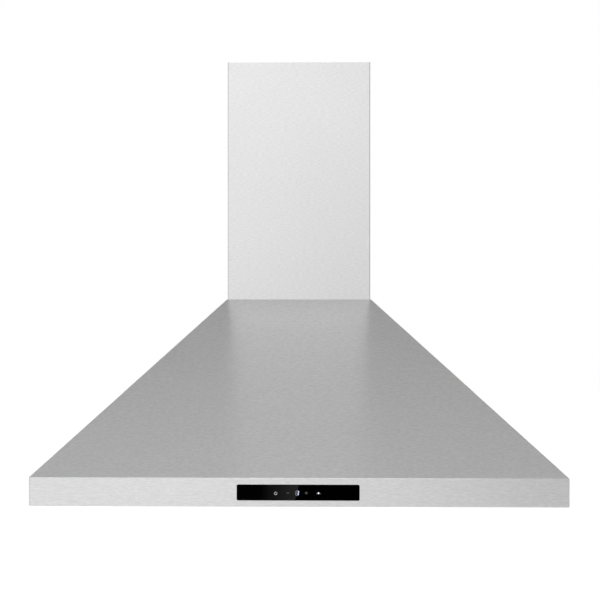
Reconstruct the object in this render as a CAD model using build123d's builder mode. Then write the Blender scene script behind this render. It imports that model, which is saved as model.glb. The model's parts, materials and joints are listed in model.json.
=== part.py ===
from build123d import *
from math import cos, hypot, radians, sin
import os

os.makedirs("parts", exist_ok=True)

# Wall-mounted chimney range hood, in millimetres. X runs along the wall, +Y points into
# the wall and +Z is up. The wall is y = 0, the underside of the rim is z = 0, and the
# hood is centred on x = 0, so its front faces -Y.

# Canopy: an upright rim under a sloped front and two sloped sides
hood_width = 750.0
hood_depth = 500.0
rim_height = 40.0
slope_height = 247.0
sheet = 1.0  # stainless sheet of the canopy and the chimney covers
bend_radius = 1.5  # outside radius of folds and polished corners
rim_return = 18.0  # inward fold under the rim
wall_flange = 16.0  # inward fold around the open back
top_flange = 14.0  # inward fold around the open top

# Chimney covers
chimney_width = 238.0
chimney_depth = 180.0
chimney_height = 396.0
chimney_ledge = 1.2  # the canopy top stands out this far around the cover
cover_return = 18.0  # inward fold of both covers along the wall
cover_foot = 11.0  # inward fold under the sides of the lower cover
cover_gap = 1.0  # sliding gap between the covers
cover_step = 1.0  # the pushed-in upper cover ends this far below the lower one
vent_length = 60.0
vent_height = 5.0
vent_pitch = 10.0
vent_count = 6
vent_drop = 45.0  # from the top of the upper cover to the middle of its vents
upper_foot_gap = 0.2

# Back panel
panel_sheet = 1.0
panel_gap = 0.3
keyhole_spacing = 280.0
keyhole_height = 200.0
keyhole_radius = 6.0
keyhole_slot = 3.5
keyhole_rise = 12.0
lock_spacing = 440.0
lock_height = 70.0
lock_radius = 4.0

# Sheet-metal screws
screw_radius = 2.0
screw_hole = 2.1
head_radius = 3.5
head_height = 2.2
panel_screw_inset = 125.0  # from the sides of the hood, along its lower fold
side_screw_rise = 62.0  # from the rim and from the top, along the sloped folds
top_screw_inset = 60.0
foot_screw_inset = 45.0  # from the front and rear of the lower cover

# Underside frame that carries the filters and lamps
frame_sheet = 1.0
frame_recess = 15.0  # underside of the frame above the underside of the rim
frame_foot = 12.0
front_strip = 70.0
rear_strip = 26.0
side_strip = 11.0
mullion = 24.0

# Lamps
lamp_inset = 140.0  # from the side of the hood
bezel_radius = 33.0
bezel_thickness = 1.8
bezel_bore = 23.0
can_radius = 27.5
can_wall = 1.7
can_height = 22.0
can_top = 2.0
lamp_hole_gap = 0.5
lens_thickness = 2.0
lens_gap = 0.3
lamp_board_thickness = 1.6
clip_width = 9.0
clip_length = 6.0
clip_thickness = 0.8
clip_gap = 0.1

# Touch control in the middle of the rim
glass_width = 170.0
glass_height = 21.6
glass_thickness = 3.0
glass_proud = 0.4
glass_corner = 1.8
glass_gap = 0.3
holder_margin = 7.0
holder_height = 33.0
holder_depth = 14.0
holder_rim = 2.0  # ledge behind the edge of the glass
control_board_thickness = 1.6
control_board_gap = 4.6  # from the glass to the board
board_side_gap = 0.3
digit_width = 12.0
digit_height = 15.0
digit_gap = 0.3
icon_outer = 30.0
icon_inner = 12.8
pad_radius = 3.0

# Baffle filters
filter_height = 14.0
filter_drop = 3.0  # underside of the filter below the frame plate
filter_sheet = 1.0
filter_side_gap = 1.0
filter_front_gap = 1.5
filter_rear_gap = 2.0
filter_rail = 16.0
latch_rail = 34.0
hook_width = 20.0
hook_spacing = 200.0
hook_length = 10.0
hook_gap = 0.3
baffle_sheet = 0.8
baffle_width = 24.0
baffle_pitch = 34.0
baffle_depth = 7.0
baffle_bite = 10.0  # how far a blade end goes into the front rail
baffle_end_gap = 0.2

# Sliding filter latch
bolt_width = 20.0
bolt_height = 3.0
bolt_length = 24.0
bolt_lift = 0.4  # bolt above the frame plate
bolt_gap = 0.3
bolt_travel = 6.5
bolt_short = 0.5  # drawn-back bolt ends this far short of the frame plate
tab_width = 14.0
tab_thickness = 3.0
tab_setback = 11.5  # from the tip of the bolt to the finger tab
tab_drop = 8.0  # finger tab below the filter
guide_wall = 2.7
guide_length = 18.0

# Blower deck under the open top of the canopy
deck_sheet = 1.2
deck_gap = 3.0
deck_screw_spacing = 150.0

# Blower
impeller_radius = 70.0
impeller_width = 116.0
impeller_disc = 2.0
disc_offset = -8.0
blade_count = 36
blade_chord = 13.0
blade_thickness = 0.9
blade_pitch = 35.0
shroud_width = 4.0
shroud_depth = 3.0
hub_radius = 9.0
hub_length = 12.0
tip_gap = 8.0
scroll_growth = 13.0  # the scroll radius grows by this much each quarter turn
scroll_width = 140.0
scroll_sheet = 1.0
cheek_sheet = 1.2
cheek_lip = 5.0
tongue_radius = 6.0
outlet_neck = 40.0  # from the tongue up to the deck
scroll_wall_gap = 16.0  # from the scroll's back wall to the wall
inlet_radius = 60.0
inlet_lip = 6.0
scroll_flange = 10.5

# Motor, in the right-hand inlet
shaft_radius = 4.0
shaft_fit = 0.04
motor_radius = 42.0
motor_wall = 1.6
motor_front = 8.0
end_cap_thickness = 4.2
bearing_radius = 11.0
bearing_width = 7.0
bearing_boss = 3.0
stator_depth = 15.0
stator_length = 32.0
stator_gap = 0.05
rotor_gap = 0.6
rotor_overhang = 2.0
grommet_height = 3.0
grommet_radius = 7.0
bracket_sheet = 2.0
bracket_arm = 16.0
bracket_ring = 30.0
bracket_bore = 15.0
bracket_arm_length = 70.0
bracket_arm_count = 3
bracket_arm_start = 90.0

# Outlet collar for a 150 mm duct, with two damper flaps
spigot_radius = 75.0
spigot_wall = 2.5
spigot_height = 50.0
collar_plate = 2.0
collar_length = 162.0
collar_edge = 1.0  # spigot to the front and rear edges of the plate
collar_screw_spacing = 151.0
collar_screw_depth = 70.0
damper_height = 32.0  # flap pivots above the deck
damper_split = 5.0  # each pivot from the middle of the collar
flap_gap = 2.0
flap_thickness = 1.5
flap_barrel = 2.4
flap_barrel_length = 132.0
flap_pin = 2.0
flap_pin_fit = 0.05
flap_pin_end = 1.0
stop_depth = 4.0
stop_height = 2.0
stop_gap = 0.3
stop_break = 9.0

# Wall bracket inside the top of the upper cover
bracket_height = 25.0
bracket_drop = 6.0
strap_sheet = 1.5
strap_shoulder = 21.0  # from the middle of a wing to the step of the bracket
strap_step = 7.0
strap_wing = 36.0
strap_hole = 2.75
strap_hole_spacing = 120.0
strap_screw_setback = 22.0

# Electrics
box_offset = 155.0
box_width = 90.0
box_depth = 38.0
box_height = 80.0
box_base = 100.0
box_wall = 2.0
box_ear = 12.0
box_ear_width = 16.0
power_board_thickness = 1.6
power_board_gap = 5.0
power_board_margin = 1.0
standoff_radius = 3.0
standoff_inset = 8.0
capacitor_radius = 12.0
capacitor_length = 46.0
gland_edge = 1.2  # from its flange to the fold around the open top
gland_setback = 34.0
gland_flange = 6.0
gland_neck = 4.6
gland_bore = 3.6
gland_head = 5.0
gland_tail = 8.0
gland_gap = 0.1
cable_radius = 2.0
cable_lift = 6.0
cable_bend = 12.0
cable_gap = 0.1
clip_block = 8.0
clip_roof = 2.0
clip_spacing = 150.0
side_clip_count = 3
lead_bend = 14.0
lead_radius = 38.0  # motor lead from the fan axis
lead_angle = 30.0
lead_turn = 8.0
lead_standoff = 18.0
lamp_lead_offset = 70.0

# Heights and places that follow from the sizes above
canopy_height = rim_height + slope_height
top_width = chimney_width + 2 * chimney_ledge
top_depth = chimney_depth + chimney_ledge
rim_inside = hood_depth - sheet
deck_top = canopy_height - sheet
deck_bottom = deck_top - deck_sheet
panel_front = sheet + panel_sheet
frame_width = hood_width - 2 * rim_return
frame_front = hood_depth - rim_return
plate_bottom = frame_recess
plate_top = frame_recess + frame_sheet
foot_top = sheet + frame_sheet
window_front = frame_front - front_strip
window_rear = rim_return + rear_strip
window_width = (frame_width - mullion - 2 * side_strip) / 2
window_centre = (mullion + window_width) / 2
frame_length = hood_depth - 2 * rim_return
lamp_offset = hood_width / 2 - lamp_inset
lamp_y = -(frame_front + window_front) / 2
glass_level = rim_height / 2
glass_back = hood_depth + glass_proud - glass_thickness
board_front = glass_back - control_board_gap
holder_rear = -(rim_inside - holder_depth)
lead_level = plate_top + cable_radius + cable_gap
foot_level = canopy_height + sheet
collar_y = -top_depth / 2
gland_spot = (top_width / 2 - top_flange - gland_edge - gland_flange, -gland_setback)
strap_level = canopy_height + chimney_height - cover_step - bracket_drop - bracket_height / 2
strap_screw_y = -(strap_step + strap_screw_setback)
cheek_outside = scroll_width / 2 + cheek_sheet
bracket_inside = cheek_outside + grommet_height
cap_front = bracket_inside - end_cap_thickness
sides = {"left": -1, "right": 1}

# Scroll drawn as quarter arcs about the corners of a small square round the fan axis
half_growth = scroll_growth / 2
top_reach = impeller_radius + tip_gap + scroll_sheet / 2
top_arc = top_reach + half_growth
back_arc = top_arc + 2 * scroll_growth
scroll_back = back_arc + half_growth
fan_y = -(scroll_wall_gap + scroll_sheet / 2 + scroll_back)
fan_z = deck_bottom - outlet_neck - top_reach
neck_level = deck_bottom - fan_z
tongue_wall = -(fan_y - half_growth + tongue_radius)


def save(piece, name):
    piece.part.label = name
    export_step(piece.part, f"parts/{name}.step")


def fan_plane(x):
    """Plane across the fan axis, with its origin on the axis and its normal along +X."""
    return Plane(origin=(x, fan_y, fan_z), x_dir=(0, 1, 0), z_dir=(1, 0, 0))


def mirrored(x, y):
    return [(-x, y), (x, y)]


def front_outline(plane, inset=0.0):
    """Outline of the canopy seen from the front, drawn inset from its edges."""
    half = hood_width / 2
    top = top_width / 2
    with BuildSketch(plane) as outline:
        with BuildLine():
            Polyline(
                (-half, 0),
                (half, 0),
                (half, rim_height),
                (top, canopy_height),
                (-top, canopy_height),
                (-half, rim_height),
                close=True,
            )
        make_face()
        if inset:
            offset(amount=-inset, kind=Kind.INTERSECTION)
    return outline.sketch


def side_outline(plane, inset=0.0):
    """Outline of the canopy seen from the side, drawn inset from its edges."""
    with BuildSketch(plane) as outline:
        with BuildLine():
            Polyline(
                (0, 0),
                (-hood_depth, 0),
                (-hood_depth, rim_height),
                (-top_depth, canopy_height),
                (0, canopy_height),
                close=True,
            )
        make_face()
        if inset:
            offset(amount=-inset, kind=Kind.INTERSECTION)
    return outline.sketch


def screw_set(plane, spots, reach):
    """Pan-head screws whose heads sit on the plane and whose shanks go back into it."""
    with BuildPart() as screws:
        with BuildSketch(plane):
            with Locations(*spots):
                Circle(head_radius)
        extrude(amount=head_height)
        with BuildSketch(plane):
            with Locations(*spots):
                Circle(screw_radius)
        extrude(amount=-reach)
    return screws


def drill(plane, spots, radius, depth):
    """Round holes cut back from the plane in the piece being built."""
    with BuildSketch(plane) as holes:
        with Locations(*spots):
            Circle(radius)
    extrude(holes.sketch, amount=-depth, mode=Mode.SUBTRACT)


def side_edge(height, inset):
    """Half width of the canopy at a height on its sloped side, inset square to the edge."""
    lean = (hood_width - top_width) / 2 / slope_height
    return hood_width / 2 - (height - rim_height) * lean - inset * hypot(1, lean)


# Screw places on the folds of the canopy
fold_middle = wall_flange / 2
panel_spots = mirrored(hood_width / 2 - panel_screw_inset, fold_middle)
for level in (rim_height + side_screw_rise, canopy_height - side_screw_rise):
    panel_spots += mirrored(side_edge(level, fold_middle), level)
panel_spots += mirrored(top_width / 2 - top_screw_inset, canopy_height - fold_middle)
deck_front = -(top_depth - top_flange + head_radius + chimney_ledge)
deck_spots = mirrored(deck_screw_spacing / 2, deck_front)
deck_spots += mirrored(deck_screw_spacing / 2, -(top_flange - head_radius))
foot_middle = chimney_width / 2 - sheet - cover_foot + head_radius + cover_gap
foot_spots = mirrored(foot_middle, -foot_screw_inset)
foot_spots += mirrored(foot_middle, -(chimney_depth - foot_screw_inset))
collar_spots = mirrored(collar_screw_spacing / 2, collar_y - collar_screw_depth / 2)
collar_spots += mirrored(collar_screw_spacing / 2, collar_y + collar_screw_depth / 2)
arm_spots = []
for arm in range(bracket_arm_count):
    angle = radians(bracket_arm_start + 360 * arm / bracket_arm_count)
    arm_spots.append((bracket_arm_length * cos(angle), bracket_arm_length * sin(angle)))
box_spots = [
    (box_offset, box_base - box_ear / 2),
    (box_offset, box_base + box_height + box_ear / 2),
]

# Space inside the canopy, one sheet in from its outside
with BuildPart() as canopy_inside:
    extrude(front_outline(Plane.XZ, sheet), amount=hood_depth)
    extrude(
        side_outline(Plane.YZ, sheet),
        amount=hood_width / 2,
        both=True,
        mode=Mode.INTERSECT,
    )

# Canopy shell, folded from sheet, with the window for the glass in its rim
with BuildPart() as canopy_shell:
    extrude(front_outline(Plane.XZ), amount=hood_depth)
    extrude(
        side_outline(Plane.YZ), amount=hood_width / 2, both=True, mode=Mode.INTERSECT
    )
    fillet(edges().filter_by(lambda edge: edge.center().Y < -sheet), radius=bend_radius)
    add(canopy_inside.part, mode=Mode.SUBTRACT)
    with BuildSketch(Plane.XY):
        with Locations((0, -hood_depth / 2)):
            Rectangle(frame_width, hood_depth - 2 * rim_return)
    extrude(amount=sheet, mode=Mode.SUBTRACT)
    extrude(front_outline(Plane.XZ, wall_flange), amount=sheet, mode=Mode.SUBTRACT)
    with BuildSketch(Plane.XY.offset(canopy_height)):
        with Locations((0, -top_depth / 2)):
            Rectangle(top_width - 2 * top_flange, top_depth - 2 * top_flange)
    extrude(amount=-sheet, mode=Mode.SUBTRACT)
    with BuildSketch(Plane.XZ.offset(rim_inside)):
        with Locations((0, glass_level)):
            RectangleRounded(
                glass_width + 2 * glass_gap,
                glass_height + 2 * glass_gap,
                glass_corner + glass_gap,
            )
    extrude(amount=sheet, mode=Mode.SUBTRACT)
    drill(Plane.XZ, panel_spots, screw_hole, -sheet)
    drill(Plane.XY.offset(canopy_height), deck_spots + foot_spots, screw_hole, sheet)
save(canopy_shell, "canopy_shell")

# Back panel inside the wall fold, with two keyholes to hang it and two holes to lock it
with BuildPart() as back_panel:
    extrude(
        front_outline(Plane.XZ.offset(sheet), sheet + panel_gap), amount=panel_sheet
    )
    with BuildSketch(Plane.XZ.offset(sheet)):
        with Locations(*mirrored(keyhole_spacing / 2, keyhole_height)):
            Circle(keyhole_radius)
        with Locations(
            *mirrored(keyhole_spacing / 2, keyhole_height + keyhole_rise / 2)
        ):
            SlotCenterToCenter(keyhole_rise, 2 * keyhole_slot, rotation=90)
        with Locations(*mirrored(lock_spacing / 2, lock_height)):
            Circle(lock_radius)
    extrude(amount=panel_sheet, mode=Mode.SUBTRACT)
    drill(Plane.XZ.offset(sheet), panel_spots, screw_hole, -panel_sheet)
    drill(Plane.XZ.offset(sheet), box_spots, screw_hole, -panel_sheet)
save(back_panel, "back_panel")
save(
    screw_set(Plane.XZ.offset(panel_front), panel_spots, panel_sheet + sheet),
    "panel_screws",
)

# Surround of the underside frame: a wall whose foot stands on the rim's inward fold
with BuildPart() as frame_surround:
    with BuildSketch(Plane.XY.offset(sheet)):
        with Locations((0, -hood_depth / 2)):
            Rectangle(frame_width + 2 * frame_foot, frame_length + 2 * frame_foot)
            Rectangle(frame_width, frame_length, mode=Mode.SUBTRACT)
    extrude(amount=frame_sheet)
    with BuildSketch(Plane.XY.offset(sheet)):
        with Locations((0, -hood_depth / 2)):
            Rectangle(frame_width + 2 * frame_sheet, frame_length + 2 * frame_sheet)
            Rectangle(frame_width, frame_length, mode=Mode.SUBTRACT)
    extrude(amount=plate_bottom - sheet)
save(frame_surround, "frame_surround")

# Frame plate welded on top of the surround, with windows for the filters and the lamps
with BuildPart() as bottom_frame:
    with BuildSketch(Plane.XY.offset(plate_bottom)):
        with Locations((0, -hood_depth / 2)):
            Rectangle(frame_width + 2 * frame_sheet, frame_length + 2 * frame_sheet)
        with Locations(*mirrored(window_centre, -(window_front + window_rear) / 2)):
            Rectangle(window_width, window_front - window_rear, mode=Mode.SUBTRACT)
        with Locations(*mirrored(lamp_offset, lamp_y)):
            Circle(can_radius + lamp_hole_gap, mode=Mode.SUBTRACT)
    extrude(amount=frame_sheet)
save(bottom_frame, "bottom_frame")

# Lamps in the front strip of the frame
lens_radius = can_radius - can_wall - lens_gap
for side, sign in sides.items():
    lamp_x = sign * lamp_offset
    with BuildPart() as lamp_bezel:
        with BuildSketch(Plane.XY.offset(plate_bottom)):
            with Locations((lamp_x, lamp_y)):
                Circle(bezel_radius)
                Circle(bezel_bore, mode=Mode.SUBTRACT)
        extrude(amount=-bezel_thickness)
        fillet(
            edges().group_by(Axis.Z)[0].sort_by(SortBy.LENGTH)[-1],
            radius=bezel_thickness / 2,
        )
    save(lamp_bezel, f"lamp_bezel_{side}")

    with BuildPart() as lamp_lens:
        with BuildSketch(Plane.XY.offset(plate_bottom)):
            with Locations((lamp_x, lamp_y)):
                Circle(lens_radius)
        extrude(amount=lens_thickness)
    save(lamp_lens, f"lamp_lens_{side}")

    with BuildPart() as lamp_can:
        with BuildSketch(Plane.XY.offset(plate_bottom)):
            with Locations((lamp_x, lamp_y)):
                Circle(can_radius)
        extrude(amount=can_height)
        with BuildSketch(Plane.XY.offset(plate_bottom)):
            with Locations((lamp_x, lamp_y)):
                Circle(can_radius - can_wall)
        extrude(amount=can_height - can_top, mode=Mode.SUBTRACT)
    save(lamp_can, f"lamp_can_{side}")

    # Lead from the lamp along the frame plate to the back of the control holder
    with BuildPart() as lamp_lead:
        with BuildLine() as lead_path:
            FilletPolyline(
                (lamp_x - sign * (can_radius + cable_gap), lamp_y, lead_level),
                (sign * lamp_lead_offset, lamp_y, lead_level),
                (sign * lamp_lead_offset, holder_rear, lead_level),
                radius=lead_bend,
            )
        with BuildSketch(Plane(origin=lead_path.line @ 0, z_dir=lead_path.line % 0)):
            Circle(cable_radius)
        sweep()
    save(lamp_lead, f"lamp_lead_{side}")

with BuildPart() as lamp_boards:
    with BuildSketch(Plane.XY.offset(plate_bottom + can_height - can_top)):
        with Locations(*mirrored(lamp_offset, lamp_y)):
            Circle(lens_radius)
    extrude(amount=-lamp_board_thickness)
save(lamp_boards, "lamp_boards")

# Spring clips that hold each lamp down on the frame plate
clip_middle = can_radius + clip_gap + clip_length / 2
with BuildPart() as lamp_clips:
    with BuildSketch(Plane.XY.offset(plate_top)):
        with Locations(*mirrored(lamp_offset, lamp_y)):
            with Locations((0, clip_middle), (0, -clip_middle)):
                Rectangle(clip_width, clip_length)
        with Locations(*mirrored(lamp_offset, lamp_y)):
            Circle(can_radius + clip_gap, mode=Mode.SUBTRACT)
    extrude(amount=clip_thickness)
save(lamp_clips, "lamp_clips")

# Touch control: glass in the rim window, and a holder with the board behind it
with BuildPart() as control_glass:
    with BuildSketch(Plane.XZ.offset(glass_back)):
        with Locations((0, glass_level)):
            RectangleRounded(glass_width, glass_height, glass_corner)
    extrude(amount=glass_thickness)
    chamfer(edges().group_by(Axis.Y)[0], length=glass_proud / 2)
save(control_glass, "control_glass")

opening_width = glass_width - 2 * holder_rim
opening_height = glass_height - 2 * holder_rim
with BuildPart() as control_holder:
    with BuildSketch(Plane.XZ.offset(rim_inside - holder_depth)):
        with Locations((0, glass_level)):
            Rectangle(glass_width + 2 * holder_margin, holder_height)
            Rectangle(opening_width, opening_height, mode=Mode.SUBTRACT)
    extrude(amount=holder_depth)
    with BuildSketch(Plane.XZ.offset(glass_back)):
        with Locations((0, glass_level)):
            RectangleRounded(
                glass_width + 2 * glass_gap,
                glass_height + 2 * glass_gap,
                glass_corner + glass_gap,
            )
    extrude(amount=rim_inside - glass_back, mode=Mode.SUBTRACT)
save(control_holder, "control_holder")

with BuildPart() as control_board:
    with BuildSketch(Plane.XZ.offset(board_front)):
        with Locations((0, glass_level)):
            Rectangle(
                opening_width - 2 * board_side_gap, opening_height - 2 * board_side_gap
            )
    extrude(amount=-control_board_thickness)
save(control_board, "control_board")

with BuildPart() as display_module:
    with BuildSketch(Plane.XZ.offset(board_front)):
        with Locations((0, glass_level)):
            Rectangle(digit_width, digit_height)
    extrude(amount=control_board_gap - digit_gap)
save(display_module, "display_module")

with BuildPart() as touch_pads:
    with BuildSketch(Plane.XZ.offset(board_front)):
        with Locations(
            *mirrored(icon_outer, glass_level), *mirrored(icon_inner, glass_level)
        ):
            Circle(pad_radius)
    extrude(amount=control_board_gap)
save(touch_pads, "touch_pads")

# Baffle filters: a folded frame hooked over the rear edge of each frame window
filter_front = window_front - filter_front_gap
filter_rear = window_rear + filter_rear_gap
filter_length = filter_front - filter_rear
filter_width = window_width - 2 * filter_side_gap
filter_bottom = plate_bottom - filter_drop
filter_top = filter_bottom + filter_height
filter_floor = filter_bottom + filter_sheet
filter_roof = filter_top - filter_sheet
baffle_rear = filter_rear + filter_sheet + baffle_end_gap
baffle_length = filter_front - latch_rail + baffle_bite - baffle_rear
baffle_count = int((filter_width - 2 * filter_rail - baffle_width) // baffle_pitch) + 1
bolt_tip = window_front - bolt_short
bolt_floor = plate_top + bolt_lift
bolt_slot_width = bolt_width + 2 * bolt_gap
bolt_slot_height = bolt_height + 2 * bolt_gap
guide_top = bolt_floor + bolt_height + bolt_gap + guide_wall
tab_front = bolt_tip - tab_setback
tab_slot_front = tab_front + bolt_travel + bolt_gap
tab_slot_rear = tab_front - tab_thickness - bolt_gap
tab_slot = (tab_width + 2 * bolt_gap, tab_slot_front - tab_slot_rear)
for side, sign in sides.items():
    centre = sign * window_centre
    tab_slot_spot = (centre, -(tab_slot_front + tab_slot_rear) / 2)
    with BuildPart() as filter_frame:
        with BuildSketch(Plane.XY.offset(filter_bottom)):
            with Locations((centre, -(filter_front + filter_rear) / 2)):
                Rectangle(filter_width, filter_length)
        extrude(amount=filter_height)
        with BuildSketch(Plane.XY.offset(filter_floor)):
            with Locations((centre, -(filter_front + filter_rear) / 2)):
                Rectangle(filter_width - 2 * filter_sheet, filter_length - 2 * filter_sheet)
        extrude(amount=filter_roof - filter_floor, mode=Mode.SUBTRACT)
        with BuildSketch(Plane.XY.offset(filter_bottom)):
            with Locations(
                (centre, -(filter_front - latch_rail + filter_rear + filter_rail) / 2)
            ):
                Rectangle(
                    filter_width - 2 * filter_rail, filter_length - filter_rail - latch_rail
                )
        extrude(amount=filter_height, mode=Mode.SUBTRACT)
        with BuildSketch(Plane.XZ.offset(filter_front)):
            with Locations((centre, bolt_floor + bolt_height / 2)):
                Rectangle(bolt_slot_width, bolt_slot_height)
        extrude(amount=-filter_sheet, mode=Mode.SUBTRACT)
        with BuildSketch(Plane.XY.offset(filter_bottom)):
            with Locations(tab_slot_spot):
                Rectangle(*tab_slot)
        extrude(amount=filter_sheet, mode=Mode.SUBTRACT)
        with BuildSketch(Plane.XZ.offset(filter_rear - hook_length)):
            with Locations((centre, plate_top + hook_gap + filter_sheet / 2)):
                with Locations((-hook_spacing / 2, 0), (hook_spacing / 2, 0)):
                    Rectangle(hook_width, filter_sheet)
        extrude(amount=hook_length)
    save(filter_frame, f"filter_frame_{side}")

    # Two rows of channel-shaped blades, the upper row over the gaps of the lower one
    with BuildPart() as filter_baffles:
        with BuildSketch(Plane.XZ.offset(baffle_rear)):
            with Locations((centre, filter_floor + baffle_depth / 2)):
                with GridLocations(baffle_pitch, baffle_depth, baffle_count, 1):
                    Rectangle(baffle_width, baffle_depth)
            with Locations((centre, filter_floor + (baffle_depth + baffle_sheet) / 2)):
                with GridLocations(baffle_pitch, baffle_depth, baffle_count, 1):
                    Rectangle(
                        baffle_width - 2 * baffle_sheet,
                        baffle_depth - baffle_sheet,
                        mode=Mode.SUBTRACT,
                    )
        extrude(amount=baffle_length)
        with BuildSketch(Plane.XZ.offset(baffle_rear)):
            with Locations((centre, filter_roof - baffle_depth / 2)):
                with GridLocations(baffle_pitch, baffle_depth, baffle_count - 1, 1):
                    Rectangle(baffle_width, baffle_depth)
            with Locations((centre, filter_roof - (baffle_depth + baffle_sheet) / 2)):
                with GridLocations(baffle_pitch, baffle_depth, baffle_count - 1, 1):
                    Rectangle(
                        baffle_width - 2 * baffle_sheet,
                        baffle_depth - baffle_sheet,
                        mode=Mode.SUBTRACT,
                    )
        extrude(amount=baffle_length)
    save(filter_baffles, f"filter_baffles_{side}")

    # Guide block in the front rail, with a channel for the bolt and a slot for its tab
    with BuildPart() as latch_guide:
        with BuildSketch(Plane.XZ.offset(filter_front - filter_sheet - guide_length)):
            with Locations((centre, (filter_floor + guide_top) / 2)):
                Rectangle(bolt_slot_width + 2 * guide_wall, guide_top - filter_floor)
            with Locations((centre, bolt_floor + bolt_height / 2)):
                Rectangle(bolt_slot_width, bolt_slot_height, mode=Mode.SUBTRACT)
        extrude(amount=guide_length)
        with BuildSketch(Plane.XY.offset(filter_floor)):
            with Locations(tab_slot_spot):
                Rectangle(*tab_slot)
        extrude(amount=bolt_floor - filter_floor, mode=Mode.SUBTRACT)
    save(latch_guide, f"latch_guide_{side}")

    # Sliding bolt with a finger tab under the filter, drawn back clear of the frame
    with BuildPart() as latch_bolt:
        with BuildSketch(Plane.XY.offset(bolt_floor)):
            with Locations((centre, -(bolt_tip - bolt_length / 2))):
                Rectangle(bolt_width, bolt_length)
        extrude(amount=bolt_height)
        with BuildSketch(Plane.XY.offset(filter_bottom - tab_drop)):
            with Locations((centre, -(tab_front - tab_thickness / 2))):
                Rectangle(tab_width, tab_thickness)
        extrude(amount=bolt_floor - filter_bottom + tab_drop)
        fillet(
            edges().group_by(Axis.Z)[0].filter_by(Axis.X), radius=tab_thickness / 3
        )
    save(latch_bolt, f"latch_bolt_{side}")

# Blower deck, screwed up against the fold around the open top
outlet_front = tongue_wall + scroll_sheet / 2
outlet_rear = scroll_wall_gap + scroll_sheet
outlet_middle = -(outlet_front + outlet_rear) / 2
cheek_span = 2 * (scroll_back + cheek_lip)
with BuildPart() as blower_deck:
    with BuildSketch(Plane.XY.offset(deck_top)):
        with Locations((0, -(top_depth + panel_front) / 2)):
            Rectangle(
                top_width - 2 * deck_gap, top_depth - panel_front - 2 * deck_gap
            )
        with Locations((0, outlet_middle)):
            Rectangle(scroll_width, outlet_front - outlet_rear, mode=Mode.SUBTRACT)
    extrude(amount=-deck_sheet)
    drill(Plane.XY.offset(deck_top), deck_spots + collar_spots, screw_hole, deck_sheet)
    drill(Plane.XY.offset(deck_top), [gland_spot], gland_neck + gland_gap, deck_sheet)
save(blower_deck, "blower_deck")
save(
    screw_set(Plane.XY.offset(canopy_height), deck_spots, sheet + deck_sheet),
    "deck_screws",
)

# Scroll: a wrapped sheet between two cheeks, open upwards into the deck
with BuildLine() as scroll_line:
    Line((scroll_back, neck_level), (scroll_back, half_growth))
    CenterArc((half_growth, half_growth), back_arc, 0, -90)
    CenterArc((half_growth, -half_growth), back_arc - scroll_growth, -90, -90)
    CenterArc((-half_growth, -half_growth), top_arc, 180, -90)
    CenterArc((-half_growth, top_arc - half_growth + tongue_radius), tongue_radius, -90, 90)
    Line(
        (tongue_radius - half_growth, top_arc - half_growth + tongue_radius),
        (tongue_radius - half_growth, neck_level),
    )
with BuildPart() as scroll_wrap:
    with BuildSketch(fan_plane(-scroll_width / 2)):
        trace(scroll_line.line, line_width=scroll_sheet)
    extrude(amount=scroll_width)
save(scroll_wrap, "scroll_wrap")

for side, sign in sides.items():
    with BuildPart() as scroll_cheek:
        with BuildSketch(fan_plane(sign * scroll_width / 2)):
            with BuildLine():
                add(scroll_line.line)
                Line(
                    (tongue_radius - half_growth, neck_level), (scroll_back, neck_level)
                )
            make_face()
            offset(amount=cheek_lip, kind=Kind.INTERSECTION)
            with Locations((0, neck_level)):
                Rectangle(
                    cheek_span,
                    2 * cheek_lip,
                    align=(Align.CENTER, Align.MIN),
                    mode=Mode.SUBTRACT,
                )
            Circle(inlet_radius, mode=Mode.SUBTRACT)
        extrude(amount=sign * cheek_sheet)
        with BuildSketch(fan_plane(sign * scroll_width / 2)):
            Circle(inlet_radius + cheek_sheet)
            Circle(inlet_radius, mode=Mode.SUBTRACT)
        extrude(amount=-sign * inlet_lip)
        with BuildSketch(fan_plane(sign * scroll_width / 2)):
            with Locations(
                (outlet_middle - fan_y, neck_level - cheek_sheet / 2)
            ):
                Rectangle(outlet_front - outlet_rear, cheek_sheet)
        extrude(amount=sign * scroll_flange)
        drill(Plane.XY.offset(deck_bottom), collar_spots, screw_hole, cheek_sheet)
        if sign > 0:
            drill(fan_plane(cheek_outside), arm_spots, screw_hole, cheek_sheet)
    save(scroll_cheek, f"scroll_cheek_{side}")

# Impeller: a wheel open on both sides, its disc carried by the motor shaft
with BuildPart() as impeller:
    with BuildSketch(fan_plane(disc_offset - impeller_disc / 2)):
        Circle(impeller_radius)
    extrude(amount=impeller_disc)
    with BuildSketch(fan_plane(disc_offset)):
        Circle(hub_radius)
    extrude(amount=-hub_length)
    with BuildSketch(fan_plane(-impeller_width / 2)):
        with PolarLocations(impeller_radius - blade_chord / 2, blade_count):
            Rectangle(blade_chord, blade_thickness, rotation=blade_pitch)
        Circle(impeller_radius, mode=Mode.INTERSECT)
    extrude(amount=impeller_width)
    for end in (-impeller_width / 2, impeller_width / 2 - shroud_depth):
        with BuildSketch(fan_plane(end)):
            Circle(impeller_radius)
            Circle(impeller_radius - shroud_width, mode=Mode.SUBTRACT)
        extrude(amount=shroud_depth)
    with BuildSketch(fan_plane(-impeller_width / 2)):
        Circle(shaft_radius + shaft_fit)
    extrude(amount=impeller_width, mode=Mode.SUBTRACT)
save(impeller, "impeller")

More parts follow.
